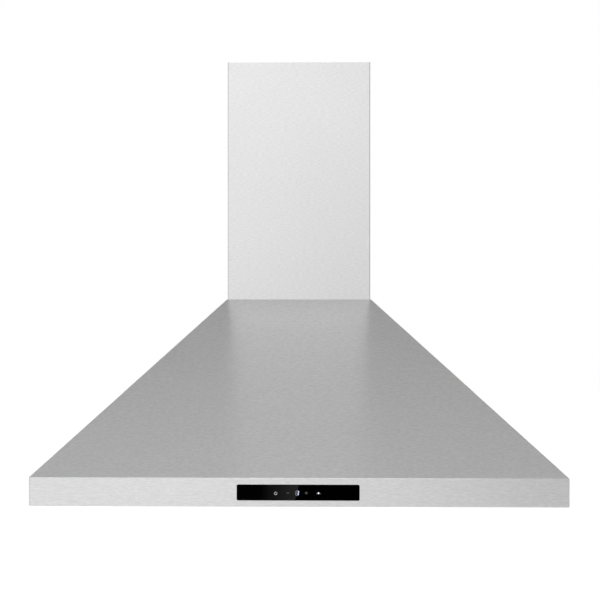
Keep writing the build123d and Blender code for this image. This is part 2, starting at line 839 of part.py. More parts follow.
# Motor: a cup with an end cap, a bearing in each, a stator, and a rotor on the shaft
motor_bore = motor_radius - motor_wall
motor_floor = motor_front + motor_wall
motor_middle = (motor_floor + cap_front) / 2
with BuildPart() as motor_case:
    with BuildSketch(fan_plane(motor_front)):
        Circle(motor_radius)
    extrude(amount=cap_front - motor_front)
    with BuildSketch(fan_plane(motor_floor)):
        Circle(motor_bore)
    extrude(amount=cap_front - motor_floor, mode=Mode.SUBTRACT)
    with BuildSketch(fan_plane(motor_floor)):
        Circle(bearing_radius + bearing_boss)
    extrude(amount=bearing_width)
    with BuildSketch(fan_plane(motor_floor)):
        Circle(bearing_radius + stator_gap)
    extrude(amount=bearing_width, mode=Mode.SUBTRACT)
    with BuildSketch(fan_plane(motor_front)):
        Circle(shaft_radius + motor_wall)
    extrude(amount=motor_wall, mode=Mode.SUBTRACT)
save(motor_case, "motor_case")

with BuildPart() as motor_end_cap:
    with BuildSketch(fan_plane(cap_front)):
        Circle(motor_radius)
    extrude(amount=end_cap_thickness)
    with BuildSketch(fan_plane(cap_front)):
        Circle(bearing_radius + bearing_boss)
        Circle(bearing_radius + stator_gap, mode=Mode.SUBTRACT)
    extrude(amount=-bearing_width)
save(motor_end_cap, "motor_end_cap")

with BuildPart() as motor_bearings:
    for end in (motor_floor, cap_front - bearing_width):
        with BuildSketch(fan_plane(end)):
            Circle(bearing_radius)
            Circle(shaft_radius + shaft_fit, mode=Mode.SUBTRACT)
        extrude(amount=bearing_width)
save(motor_bearings, "motor_bearings")

stator_bore = motor_bore - stator_gap - stator_depth
with BuildPart() as stator:
    with BuildSketch(fan_plane(motor_middle)):
        Circle(motor_bore - stator_gap)
        Circle(stator_bore, mode=Mode.SUBTRACT)
    extrude(amount=stator_length / 2, both=True)
save(stator, "stator")

shaft_end = disc_offset - hub_length - rotor_overhang
with BuildPart() as rotor:
    with BuildSketch(fan_plane(shaft_end)):
        Circle(shaft_radius)
    extrude(amount=cap_front - shaft_fit - shaft_end)
    with BuildSketch(fan_plane(motor_middle)):
        Circle(stator_bore - rotor_gap)
    extrude(amount=stator_length / 2 + rotor_overhang, both=True)
save(rotor, "rotor")

# Three-armed bracket that hangs the motor in the right-hand inlet on rubber grommets
with BuildPart() as motor_bracket:
    with BuildSketch(fan_plane(bracket_inside)):
        Circle(bracket_ring)
        with PolarLocations(
            bracket_arm_length / 2, bracket_arm_count, start_angle=bracket_arm_start
        ):
            Rectangle(bracket_arm_length, bracket_arm)
        with Locations(*arm_spots):
            Circle(bracket_arm / 2)
            Circle(screw_hole, mode=Mode.SUBTRACT)
        Circle(bracket_bore, mode=Mode.SUBTRACT)
    extrude(amount=bracket_sheet)
save(motor_bracket, "motor_bracket")

with BuildPart() as motor_grommets:
    with BuildSketch(fan_plane(cheek_outside)):
        with Locations(*arm_spots):
            Circle(grommet_radius)
            Circle(screw_hole, mode=Mode.SUBTRACT)
    extrude(amount=grommet_height)
save(motor_grommets, "motor_grommets")
save(
    screw_set(
        fan_plane(bracket_inside + bracket_sheet),
        arm_spots,
        bracket_sheet + grommet_height + cheek_sheet,
    ),
    "motor_screws",
)

# Outlet collar: a plate on the deck, a round spigot, stops and a bar for the flaps
pivot_level = deck_top + damper_height
spigot_bore = spigot_radius - spigot_wall
stop_top = pivot_level - flap_thickness / 2 - stop_gap
bar_width = 2 * (damper_split - flap_barrel - stop_gap)
pivot_reach = (spigot_radius**2 - damper_split**2) ** 0.5 - flap_pin_end
with BuildPart() as outlet_collar:
    with BuildSketch(Plane.XY.offset(deck_top)):
        with Locations((0, collar_y)):
            Rectangle(collar_length, 2 * (spigot_radius + collar_edge))
    extrude(amount=collar_plate)
    with BuildSketch(Plane.XY.offset(deck_top)):
        with Locations((0, collar_y)):
            Circle(spigot_radius)
    extrude(amount=spigot_height)
    with BuildSketch(Plane.XY.offset(deck_top)):
        with Locations((0, collar_y)):
            Circle(spigot_bore)
    extrude(amount=spigot_height, mode=Mode.SUBTRACT)
    with BuildSketch(Plane.XY.offset(stop_top)):
        with Locations((0, collar_y)):
            Circle(spigot_bore)
            Circle(spigot_bore - stop_depth, mode=Mode.SUBTRACT)
            Rectangle(2 * spigot_radius, 2 * stop_break, mode=Mode.SUBTRACT)
    extrude(amount=-stop_height)
    with BuildSketch(Plane.XY.offset(pivot_level - flap_barrel)):
        with Locations((0, collar_y)):
            Rectangle(2 * spigot_radius, bar_width)
            Circle(spigot_bore, mode=Mode.INTERSECT)
    extrude(amount=2 * flap_barrel)
    with BuildSketch(Plane.YZ.offset(-spigot_radius)):
        with Locations(
            (collar_y - damper_split, pivot_level), (collar_y + damper_split, pivot_level)
        ):
            Circle(flap_pin + flap_pin_fit)
    extrude(amount=2 * spigot_radius, mode=Mode.SUBTRACT)
    drill(
        Plane.XY.offset(deck_top + collar_plate), collar_spots, screw_hole, collar_plate
    )
save(outlet_collar, "outlet_collar")
save(
    screw_set(
        Plane.XY.offset(deck_top + collar_plate),
        collar_spots,
        collar_plate + deck_sheet + cheek_sheet,
    ),
    "collar_screws",
)

# Half-round damper flaps on pins, lying shut just above the stops
for name, sign in {"front": -1, "rear": 1}.items():
    pivot_y = collar_y + sign * damper_split
    with BuildPart() as damper_flap:
        with BuildSketch(Plane.XY.offset(pivot_level)):
            with Locations((0, collar_y)):
                Circle(spigot_bore - flap_gap)
            with Locations((0, pivot_y - sign * spigot_radius)):
                Rectangle(2 * spigot_radius, 2 * spigot_radius, mode=Mode.SUBTRACT)
        extrude(amount=flap_thickness / 2, both=True)
        with BuildSketch(Plane.YZ):
            with Locations((pivot_y, pivot_level)):
                Circle(flap_barrel)
        extrude(amount=flap_barrel_length / 2, both=True)
        with BuildSketch(Plane.YZ):
            with Locations((pivot_y, pivot_level)):
                Circle(flap_pin)
        extrude(amount=pivot_reach, both=True)
    save(damper_flap, f"damper_flap_{name}")


def cover_outline(plane, inset):
    """Plan of a chimney cover, open towards the wall between two inward folds."""
    half = chimney_width / 2 - inset
    front = -(chimney_depth - inset)
    with BuildSketch(plane) as outline:
        with Locations((0, (front - inset) / 2)):
            Rectangle(2 * half, -front - inset)
        fillet(outline.vertices().group_by(Axis.Y)[0], radius=bend_radius)
        with Locations((0, (front - inset) / 2)):
            Rectangle(2 * (half - sheet), -front - inset - 2 * sheet, mode=Mode.SUBTRACT)
        with Locations((0, -inset - sheet / 2)):
            Rectangle(2 * (half - cover_return), 2 * sheet, mode=Mode.SUBTRACT)
    return outline.sketch


# Lower cover, standing on the canopy with an inward foot along each side
with BuildPart() as lower_chimney:
    extrude(cover_outline(Plane.XY.offset(canopy_height), 0), amount=chimney_height)
    with BuildSketch(Plane.XY.offset(canopy_height)):
        with Locations(
            *mirrored((chimney_width - cover_foot) / 2 - sheet / 2, -chimney_depth / 2)
        ):
            Rectangle(cover_foot + sheet, chimney_depth - 2 * bend_radius)
    extrude(amount=sheet)
    drill(Plane.XY.offset(foot_level), foot_spots, screw_hole, sheet)
save(lower_chimney, "lower_chimney")
save(screw_set(Plane.XY.offset(foot_level), foot_spots, 2 * sheet), "chimney_screws")

# Upper cover, pushed right down inside the lower one, with vents in its sides
upper_inset = sheet + cover_gap
upper_bottom = foot_level + upper_foot_gap
upper_top = canopy_height + chimney_height - cover_step
with BuildPart() as upper_chimney:
    extrude(
        cover_outline(Plane.XY.offset(upper_bottom), upper_inset),
        amount=upper_top - upper_bottom,
    )
    with BuildSketch(Plane.YZ):
        with Locations((-chimney_depth / 2, upper_top - vent_drop)):
            with GridLocations(vent_length, vent_pitch, 1, vent_count):
                SlotOverall(vent_length, vent_height)
    extrude(amount=chimney_width, both=True, mode=Mode.SUBTRACT)
    drill(
        Plane.YZ.offset(chimney_width / 2),
        [(strap_screw_y, strap_level)],
        screw_hole,
        chimney_width,
    )
save(upper_chimney, "upper_chimney")

# Folded wall bracket that holds the upper cover by its sides
strap_x = chimney_width / 2 - upper_inset - sheet - strap_sheet / 2
strap_back = -strap_sheet / 2
strap_mid = strap_back - strap_step
strap_half = strap_x - strap_shoulder
with BuildPart() as ceiling_bracket:
    with BuildSketch(Plane.XY.offset(strap_level - bracket_height / 2)):
        with BuildLine() as strap_line:
            FilletPolyline(
                (-strap_x, strap_mid - strap_wing),
                (-strap_x, strap_mid),
                (-strap_half, strap_mid),
                (-strap_half, strap_back),
                (strap_half, strap_back),
                (strap_half, strap_mid),
                (strap_x, strap_mid),
                (strap_x, strap_mid - strap_wing),
                radius=strap_sheet,
            )
        trace(strap_line.line, line_width=strap_sheet)
    extrude(amount=bracket_height)
    drill(
        Plane.XZ.offset(strap_sheet),
        mirrored(strap_hole_spacing / 2, strap_level),
        strap_hole,
        strap_sheet,
    )
    drill(
        Plane.YZ.offset(chimney_width / 2),
        [(strap_screw_y, strap_level)],
        screw_hole,
        chimney_width,
    )
save(ceiling_bracket, "ceiling_bracket")

with BuildPart() as bracket_screws:
    for sign in sides.values():
        with BuildSketch(Plane.YZ.offset(sign * (strap_x - strap_sheet / 2))):
            with Locations((strap_screw_y, strap_level)):
                Circle(head_radius)
        extrude(amount=-sign * head_height)
        with BuildSketch(Plane.YZ.offset(sign * (strap_x - strap_sheet / 2))):
            with Locations((strap_screw_y, strap_level)):
                Circle(screw_radius)
        extrude(amount=sign * (strap_sheet + sheet))
save(bracket_screws, "bracket_screws")

# Control box on the back panel, with its board, motor capacitor and cover
box_middle = box_base + box_height / 2
box_front = panel_front + box_depth
board_level = panel_front + box_wall + power_board_gap
board_size = (
    box_width - 2 * (box_wall + power_board_margin),
    box_height - 2 * (box_wall + power_board_margin),
)
with BuildPart() as control_box:
    with BuildSketch(Plane.XZ.offset(panel_front)):
        with Locations((box_offset, box_middle)):
            Rectangle(box_width, box_height)
    extrude(amount=box_depth)
    with BuildSketch(Plane.XZ.offset(panel_front + box_wall)):
        with Locations((box_offset, box_middle)):
            Rectangle(box_width - 2 * box_wall, box_height - 2 * box_wall)
    extrude(amount=box_depth - box_wall, mode=Mode.SUBTRACT)
    with BuildSketch(Plane.XZ.offset(panel_front)):
        with Locations(*box_spots):
            Rectangle(box_ear_width, box_ear)
            Circle(screw_hole, mode=Mode.SUBTRACT)
    extrude(amount=box_wall)
    with BuildSketch(Plane.XZ.offset(panel_front + box_wall)):
        with Locations((box_offset, box_middle)):
            with GridLocations(
                board_size[0] - 2 * standoff_inset, board_size[1] - 2 * standoff_inset, 2, 2
            ):
                Circle(standoff_radius)
    extrude(amount=power_board_gap)
save(control_box, "control_box")
save(
    screw_set(
        Plane.XZ.offset(panel_front + box_wall), box_spots, box_wall + panel_sheet
    ),
    "box_screws",
)

with BuildPart() as power_board:
    with BuildSketch(Plane.XZ.offset(board_level)):
        with Locations((box_offset, box_middle)):
            Rectangle(*board_size)
    extrude(amount=power_board_thickness)
save(power_board, "power_board")

with BuildPart() as capacitor:
    with BuildSketch(Plane.YZ.offset(box_offset)):
        with Locations(
            (-(board_level + power_board_thickness + capacitor_radius), box_middle)
        ):
            Circle(capacitor_radius)
    extrude(amount=capacitor_length / 2, both=True)
save(capacitor, "capacitor")

with BuildPart() as control_box_cover:
    with BuildSketch(Plane.XZ.offset(box_front)):
        with Locations((box_offset, box_middle)):
            Rectangle(box_width, box_height)
    extrude(amount=box_wall)
    fillet(edges().group_by(Axis.Y)[0], radius=box_wall / 2)
save(control_box_cover, "control_box_cover")

# Gland in the deck where the power cord would leave into the chimney
with BuildPart() as cord_gland:
    with BuildSketch(Plane.XY.offset(deck_top)):
        with Locations(gland_spot):
            Circle(gland_flange)
    extrude(amount=gland_head)
    with BuildSketch(Plane.XY.offset(deck_top)):
        with Locations(gland_spot):
            Circle(gland_neck)
    extrude(amount=-(deck_sheet + gland_tail))
    with BuildSketch(Plane.XY.offset(deck_top + gland_head)):
        with Locations(gland_spot):
            Circle(gland_bore)
    extrude(amount=-(gland_head + deck_sheet + gland_tail), mode=Mode.SUBTRACT)
save(cord_gland, "cord_gland")

# Control cable: down from the box, then round behind the frame to the control holder
cable_x = frame_width / 2 + (frame_sheet + frame_foot) / 2
cable_rear = -(rim_return - (frame_sheet + frame_foot) / 2)
cable_front = -(frame_front + (frame_sheet + frame_foot) / 2)
cable_level = foot_top + cable_lift
with BuildPart() as control_cable:
    with BuildLine() as cable_path:
        FilletPolyline(
            (box_offset, cable_rear, box_base),
            (box_offset, cable_rear, cable_level),
            (cable_x, cable_rear, cable_level),
            (cable_x, cable_front, cable_level),
            (glass_width / 2 + holder_margin, cable_front, cable_level),
            radius=cable_bend,
        )
    with BuildSketch(Plane(origin=cable_path.line @ 0, z_dir=cable_path.line % 0)):
        Circle(cable_radius)
    sweep()
save(control_cable, "control_cable")

# Clips that carry the control cable on the foot of the frame
with BuildPart() as cable_clips:
    with BuildSketch(Plane.XY.offset(foot_top)):
        with Locations((cable_x, -hood_depth / 2)):
            with GridLocations(clip_block, clip_spacing, 1, side_clip_count):
                Rectangle(clip_block, clip_block)
        with Locations((cable_x - clip_spacing / 2, cable_rear)):
            Rectangle(clip_block, clip_block)
        with Locations((cable_x - clip_spacing / 2, cable_front)):
            Rectangle(clip_block, clip_block)
    extrude(amount=cable_lift + cable_radius + clip_roof)
    with BuildSketch(Plane.XZ):
        with Locations((cable_x, cable_level)):
            Circle(cable_radius + cable_gap)
    extrude(amount=hood_depth, mode=Mode.SUBTRACT)
    with BuildSketch(Plane.YZ):
        with Locations((cable_rear, cable_level), (cable_front, cable_level)):
            Circle(cable_radius + cable_gap)
    extrude(amount=cable_x - clip_block, mode=Mode.SUBTRACT)
save(cable_clips, "cable_clips")

# Lead from the motor's end cap to the side of the control box
lead_y = fan_y + lead_radius * cos(radians(lead_angle))
lead_z = fan_z + lead_radius * sin(radians(lead_angle))
box_side = box_offset - box_width / 2
with BuildPart() as motor_lead:
    with BuildLine() as motor_lead_path:
        FilletPolyline(
            (bracket_inside, lead_y, lead_z),
            (bracket_inside + lead_standoff, lead_y, lead_z),
            (box_side - lead_standoff, -(panel_front + box_front) / 2, box_middle),
            (box_side, -(panel_front + box_front) / 2, box_middle),
            radius=lead_turn,
        )
    with BuildSketch(
        Plane(origin=motor_lead_path.line @ 0, z_dir=motor_lead_path.line % 0)
    ):
        Circle(cable_radius)
    sweep()
save(motor_lead, "motor_lead")
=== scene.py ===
import json
import math
from functools import partial

import bmesh
import bpy
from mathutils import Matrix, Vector


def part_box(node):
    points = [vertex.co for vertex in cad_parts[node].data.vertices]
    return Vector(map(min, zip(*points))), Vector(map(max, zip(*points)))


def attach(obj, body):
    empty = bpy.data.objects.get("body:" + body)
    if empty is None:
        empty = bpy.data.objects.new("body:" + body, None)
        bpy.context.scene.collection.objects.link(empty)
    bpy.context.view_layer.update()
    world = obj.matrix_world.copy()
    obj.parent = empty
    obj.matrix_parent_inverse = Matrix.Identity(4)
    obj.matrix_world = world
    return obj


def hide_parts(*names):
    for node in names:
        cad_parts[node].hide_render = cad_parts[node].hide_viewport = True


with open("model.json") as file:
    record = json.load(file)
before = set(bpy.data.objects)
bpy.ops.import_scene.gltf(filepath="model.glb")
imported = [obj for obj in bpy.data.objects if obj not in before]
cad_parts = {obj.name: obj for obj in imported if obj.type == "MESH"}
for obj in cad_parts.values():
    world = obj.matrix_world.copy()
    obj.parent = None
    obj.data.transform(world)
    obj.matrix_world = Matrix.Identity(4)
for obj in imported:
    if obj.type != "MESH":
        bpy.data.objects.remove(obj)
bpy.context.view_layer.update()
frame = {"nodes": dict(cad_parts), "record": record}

MM = 0.001
SAME_SPOT = 0.01 * MM  # corners closer than this are one
nodes = frame["nodes"]
scene = bpy.context.scene
scene.view_settings.view_transform = "Standard"


# Small tools

def linear(hex_colour):
    """sRGB hex, as a paint chart gives it, to the linear colour that a shader takes."""
    channels = [int(hex_colour[i:i + 2], 16) / 255 for i in (1, 3, 5)]
    return [c / 12.92 if c <= 0.04045 else ((c + 0.055) / 1.055) ** 2.4 for c in channels] + [1.0]


def shade(colour, factor):
    """The same colour, lighter or darker."""
    return [channel * factor for channel in colour[:3]] + [1.0]


def fill(tree, node, inputs):
    """Sets a node's inputs to plain values, or links them to other nodes."""
    for key, value in inputs.items():
        if isinstance(value, bpy.types.Node):
            value = value.outputs[0]
        if isinstance(value, bpy.types.NodeSocket):
            tree.links.new(value, node.inputs[key])
        else:
            node.inputs[key].default_value = value


def add_node(tree, kind, inputs=None, stops=(), **settings):
    """Adds a node with its settings, its inputs and, on a colour ramp, its stops."""
    node = tree.nodes.new(kind)
    for key, value in settings.items():
        setattr(node, key, value)
    for number, (place, colour) in enumerate(stops):
        node.color_ramp.elements[number].position = place
        node.color_ramp.elements[number].color = colour
    fill(tree, node, inputs or {})
    return node


def new_material(name):
    """A material with one Principled shader, and its node tree."""
    material = bpy.data.materials.new(name)
    material.use_nodes = True
    return material, material.node_tree


def set_surface(material, inputs):
    """Sets or links the sockets of a material's shader."""
    fill(material.node_tree, material.node_tree.nodes["Principled BSDF"], inputs)
    return material


def pattern_space(tree, *size_mm):
    """Object coordinates in which one unit is the given size along each axis."""
    place = add_node(tree, "ShaderNodeTexCoord")
    scale = [1 / (size * MM) for size in size_mm]
    return add_node(tree, "ShaderNodeMapping", {"Vector": place.outputs["Object"], "Scale": scale})


# Materials

STROKE_LONG, STROKE_WIDE = 6.2, 1.0  # brush strokes in millimetres
STROKE_DEPTH = 0.865  # darkest stroke against the lightest
LYING = 0.9  # a face whose normal is this upright counts as lying


def brushed_stainless(name, lying_grain="X", tone="#e0e0e0"):
    """Stainless sheet, belt-brushed: soft reflections that smear across the grain, with
    short fine strokes a shade lighter and darker along it. The grain runs level on upright
    faces and along X or Y on lying ones. The strokes are drawn about 1 mm wide, coarser
    than real grit lines, so that they show."""
    material, tree = new_material(name)
    place = add_node(tree, "ShaderNodeTexCoord")
    facing = add_node(tree, "ShaderNodeSeparateXYZ", {0: place.outputs["Normal"]})
    upness = add_node(tree, "ShaderNodeMath", {0: facing.outputs["Z"]}, operation="ABSOLUTE")
    lying = add_node(tree, "ShaderNodeMath", {0: upness, 1: LYING}, operation="GREATER_THAN")
    along, across = 1 / (STROKE_LONG * MM), 1 / (STROKE_WIDE * MM)
    sideways = add_node(tree, "ShaderNodeMapRange", {"Value": lying, "To Min": along, "To Max": across})
    turned = "Y" if lying_grain == "X" else "X"
    density = add_node(tree, "ShaderNodeCombineXYZ", {lying_grain: along, turned: sideways, "Z": across})
    spot = add_node(tree, "ShaderNodeMapping", {"Vector": place.outputs["Object"], "Scale": density})
    strokes = add_node(tree, "ShaderNodeTexNoise", {"Vector": spot, "Scale": 1.0, "Detail": 2.0})
    light = linear(tone)
    colour = add_node(tree, "ShaderNodeValToRGB", {"Fac": strokes},
                      stops=[(0.3, shade(light, STROKE_DEPTH)), (0.7, light)])
    clouds = add_node(tree, "ShaderNodeTexNoise", {
        "Vector": pattern_space(tree, 180, 180, 180), "Scale": 1.0, "Detail": 2.0})
    rough = add_node(tree, "ShaderNodeMapRange", {"Value": clouds, "To Min": 0.36, "To Max": 0.31})
    # The small part gives a direction on faces that the main one stands square to
    across_grain = (0.0, 0.01, 1.0) if lying_grain == "X" else (1.0, 0.0, 0.01)
    smear = add_node(tree, "ShaderNodeCombineXYZ", dict(zip("XYZ", across_grain)))
    bump = add_node(tree, "ShaderNodeBump", {"Height": strokes, "Strength": 0.05, "Distance": 0.2 * MM})
    return set_surface(material, {
        "Base Color": colour, "Roughness": rough, "Tangent": smear, "Normal": bump,
        "Metallic": 1.0, "Anisotropic": 0.92})


def galvanised_sheet():
    """Hot-dip galvanised steel: dull grey zinc with crystal spangles about 5 mm across,
    each a little lighter or darker and a little more or less matt than the next."""
    material, tree = new_material("galvanised_steel_hot_dipped")
    spangle = add_node(tree, "ShaderNodeTexVoronoi", {
        "Vector": pattern_space(tree, 5, 5, 5), "Scale": 1.0, "Randomness": 1.0})
    grey = add_node(tree, "ShaderNodeSeparateColor", {0: spangle.outputs["Color"]})
    colour = add_node(tree, "ShaderNodeValToRGB", {"Fac": grey.outputs[0]},
                      stops=[(0.0, linear("#a9adaf")), (1.0, linear("#bcbfc0"))])
    rough = add_node(tree, "ShaderNodeMapRange", {"Value": grey.outputs[1], "To Min": 0.38, "To Max": 0.5})
    return set_surface(material, {"Base Color": colour, "Roughness": rough, "Metallic": 1.0})


def moulded_plastic(name, tone, rough, grain_mm=0.6):
    """Injection-moulded plastic: even colour, a fine spark-eroded grain from the tool and
    slightly uneven gloss. The grain is drawn coarser than it is so that it shows."""
    material, tree = new_material(name)
    grain = add_node(tree, "ShaderNodeTexNoise", {
        "Vector": pattern_space(tree, grain_mm, grain_mm, grain_mm), "Scale": 1.0, "Detail": 2.0})
    gloss = add_node(tree, "ShaderNodeTexNoise", {
        "Vector": pattern_space(tree, 25, 25, 25), "Scale": 1.0, "Detail": 3.0})
    colour = add_node(tree, "ShaderNodeValToRGB", {"Fac": gloss},
                      stops=[(0.0, shade(linear(tone), 0.82)), (1.0, linear(tone))])
    rough = add_node(tree, "ShaderNodeMapRange", {
        "Value": gloss, "To Min": rough - 0.06, "To Max": rough + 0.06})
    bump = add_node(tree, "ShaderNodeBump", {"Height": grain, "Strength": 0.12, "Distance": 0.2 * MM})
    return set_surface(material, {"Base Color": colour, "Roughness": rough, "Normal": bump, "IOR": 1.53})


def plain_metal(name, tone, rough, fine_mm, metallic=1.0):
    """Machined, cast or enamelled metal: close to one colour, with a fine uneven polish."""
    material, tree = new_material(name)
    polish = add_node(tree, "ShaderNodeTexNoise", {
        "Vector": pattern_space(tree, fine_mm, fine_mm, fine_mm), "Scale": 1.0, "Detail": 4.0})
    colour = add_node(tree, "ShaderNodeValToRGB", {"Fac": polish},
                      stops=[(0.0, shade(linear(tone), 0.85)), (1.0, linear(tone))])
    rough = add_node(tree, "ShaderNodeMapRange", {
        "Value": polish, "To Min": rough * 0.8, "To Max": rough * 1.2})
    return set_surface(material, {"Base Color": colour, "Roughness": rough, "Metallic": metallic})


def touch_glass():
    """Float glass printed black behind: a deep gloss with the faintest uneven wipe marks."""
    material, tree = new_material("float_glass_printed_black")
    wipe = add_node(tree, "ShaderNodeTexNoise", {
        "Vector": pattern_space(tree, 40, 40, 12), "Scale": 1.0, "Detail": 3.0})
    colour = add_node(tree, "ShaderNodeValToRGB", {"Fac": wipe},
                      stops=[(0.0, linear("#010101")), (1.0, linear("#020203"))])
    rough = add_node(tree, "ShaderNodeMapRange", {"Value": wipe, "To Min": 0.0, "To Max": 0.02})
    return set_surface(material, {"Base Color": colour, "Roughness": rough, "IOR": 1.5})


def circuit_board():
    """Glass-fibre board under green solder mask, with copper tracks a shade lighter."""
    material, tree = new_material("glass_fibre_board_solder_mask")
    tracks = add_node(tree, "ShaderNodeTexBrick", {
        "Vector": pattern_space(tree, 6, 6, 6), "Scale": 1.0, "Mortar Size": 0.04,
        "Color1": linear("#14492a"), "Color2": linear("#123f26"), "Mortar": linear("#2f6d3c")})
    return set_surface(material, {"Base Color": tracks, "Roughness": 0.38})


def frosted_lens():
    """Polycarbonate with a frosted inner face: milky white, with a soft sheen and faint
    moulded ripples about 2.5 mm apart."""
    material, tree = new_material("polycarbonate_frosted")
    ripple = add_node(tree, "ShaderNodeTexVoronoi", {
        "Vector": pattern_space(tree, 2.5, 2.5, 2.5), "Scale": 1.0, "Randomness": 0.4},
        feature="SMOOTH_F1")
    colour = add_node(tree, "ShaderNodeValToRGB", {"Fac": ripple},
                      stops=[(0.0, linear("#f4f4f1")), (1.0, linear("#e9eae6"))])
    rough = add_node(tree, "ShaderNodeMapRange", {"Value": ripple, "To Min": 0.2, "To Max": 0.35})
    bump = add_node(tree, "ShaderNodeBump", {"Height": ripple, "Strength": 0.2, "Distance": 0.4 * MM})
    return set_surface(material, {
        "Base Color": colour, "Roughness": rough, "Normal": bump, "IOR": 1.58,
        "Transmission Weight": 0.06, "Subsurface Weight": 0.3, "Subsurface Radius": (3 * MM, 3 * MM, 3 * MM)})


def lit_symbol(name, tone, strength):
    """Symbol lit from behind the printed glass: an even glow with slightly soft ink."""
    material, tree = new_material(name)
    ink = add_node(tree, "ShaderNodeTexNoise", {
        "Vector": pattern_space(tree, 1.5, 1.5, 1.5), "Scale": 1.0, "Detail": 1.0})
    glow = add_node(tree, "ShaderNodeValToRGB", {"Fac": ink},
                    stops=[(0.3, shade(linear(tone), 0.8)), (0.7, linear(tone))])
    return set_surface(material, {
        "Emission Color": glow, "Emission Strength": strength,
        "Base Color": linear("#0a0a0a"), "Roughness": 0.4})


zinc_plated = plain_metal("steel_zinc_plated", "#cdced0", 0.24, 1.2)
steel_blade = brushed_stainless("stainless_430_brushed_blades", lying_grain="Y", tone="#dcdcdc")
steel_polished = plain_metal("stainless_304_turned_polished", "#dadada", 0.13, 0.8)
FINISH = {
    "brushed_stainless": brushed_stainless("stainless_304_belt_brushed"),
    "galvanised_sheet": galvanised_sheet(),
    "black_glass": touch_glass(),
    "black_plastic": moulded_plastic("abs_moulded_black", "#232427", 0.48),
    "white_plastic": moulded_plastic("nylon_moulded_white", "#e8e6df", 0.42),
    "grey_sheath": moulded_plastic("pvc_extruded_grey", "#6a6c6e", 0.5, grain_mm=1.5),
    "black_rubber": moulded_plastic("rubber_moulded_black", "#1a1a1a", 0.7),
    "display_resin": moulded_plastic("epoxy_cast_dark", "#2a2a2d", 0.25),
    "circuit_board": circuit_board(),
    "frosted_lens": frosted_lens(),
    "zinc_screw": zinc_plated,
    "spring_steel": plain_metal("spring_steel_rolled", "#b9b9b8", 0.3, 2.0),
    "cast_aluminium": plain_metal("aluminium_die_cast", "#c3c5c6", 0.42, 0.9),
    "motor_enamel": plain_metal("steel_enamelled_black", "#1f1f21", 0.36, 1.5, metallic=0.0),
    "lamination_steel": plain_metal("electrical_steel_stacked", "#6c6e72", 0.45, 0.7),
    "shaft_steel": plain_metal("steel_ground", "#c9cacb", 0.2, 0.6),
}
OWN_FINISH = {
    "filter_baffles_left": steel_blade, "filter_baffles_right": steel_blade,
    "lamp_bezel_left": steel_polished, "lamp_bezel_right": steel_polished,
}
slot_of = {part["node"]: part["material_slot"] for part in frame["record"]["subparts"]}
body_of = {node: body for body, names in frame["record"]["behaviour"]["bodies"].items() for node in names}
for name, node in nodes.items():
    node.data.materials.clear()
    node.data.materials.append(OWN_FINISH.get(name, FINISH[slot_of[name]]))


# Pieces

def link_mesh(name, mesh):
    """A new object in the scene, with its place in its mesh."""
    piece = bpy.data.objects.new(name, mesh)
    scene.collection.objects.link(piece)
    return piece


def finish_piece(piece, node):
    """Puts a finished mesh on its node's body, in its node's place and finish."""
    piece.data.materials.clear()
    piece.data.materials.append(nodes[node].data.materials[0])
    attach(piece, body_of[node])
    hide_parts(node)


LEVEL_ANGLE = math.radians(1)  # faces that differ by less are one flat face
SHARP_ANGLE = math.radians(40)  # edges that turn by more are rounded over


def deburred_copy(node, edge_mm):
    """The node's own form with its sharp edges rounded over, as a deburred blank has."""
    form = bmesh.new()
    form.from_mesh(nodes[node].data)
    bmesh.ops.remove_doubles(form, verts=form.verts, dist=SAME_SPOT)
    bmesh.ops.dissolve_limit(form, angle_limit=LEVEL_ANGLE, verts=form.verts, edges=form.edges)
    mesh = bpy.data.meshes.new(f"{node}_deburred")
    form.to_mesh(mesh)
    form.free()
    mesh.polygons.foreach_set("use_smooth", [True] * len(mesh.polygons))
    piece = link_mesh(f"{node}_deburred", mesh)
    edge = piece.modifiers.new("deburred_edge", "BEVEL")
    edge.width = edge_mm * MM
    edge.segments = 2
    edge.limit_method = "ANGLE"
    edge.angle_limit = SHARP_ANGLE
    flat = piece.modifiers.new("flat_face_shading", "WEIGHTED_NORMAL")
    flat.weight = 100
    finish_piece(piece, node)


# Edge radius in millimetres, and the pieces that have it
DEBURRED = {
    0.2: ["lamp_clips"],
    0.25: ["canopy_shell", "lower_chimney", "upper_chimney", "back_panel", "blower_deck",
           "filter_baffles_left", "filter_baffles_right", "scroll_cheek_left", "scroll_cheek_right"],
    0.3: ["frame_surround", "bottom_frame", "filter_frame_left", "filter_frame_right",
          "latch_guide_left", "latch_guide_right", "control_holder", "ceiling_bracket",
          "damper_flap_front", "damper_flap_rear"],
    0.4: ["latch_bolt_left", "latch_bolt_right", "control_box", "control_box_cover",
          "motor_bracket", "cord_gland"],
    0.5: ["outlet_collar"],
    0.6: ["lamp_bezel_left", "lamp_bezel_right"],
}
for edge_mm, pieces in DEBURRED.items():
    for node in pieces:
        deburred_copy(node, edge_mm)


# Screws: pan heads with a cross recess, set by a node tree where the plain screws are

SCREW_SIZES = ("Head Radius", "Head Height", "Crown", "Shank Radius", "Shank Length",
               "Recess Width", "Recess Depth")
HEAD_HEIGHT = 2.2 * MM
CROWN = 0.8 * MM
SHANK_RADIUS = 2.0 * MM
RECESS_WIDTH = 0.9 * MM
RECESS_DEPTH = 1.1 * MM
SLOT_SHARE = 1.15  # length of a slot against the head's radius
# Which way the heads face on the right of the hood; on the left they face the mirrored way
SCREW_FACING = {
    "panel_screws": (0, -1, 0), "box_screws": (0, -1, 0), "deck_screws": (0, 0, 1),
    "collar_screws": (0, 0, 1), "chimney_screws": (0, 0, 1), "motor_screws": (1, 0, 0),
    "bracket_screws": (-1, 0, 0),
}


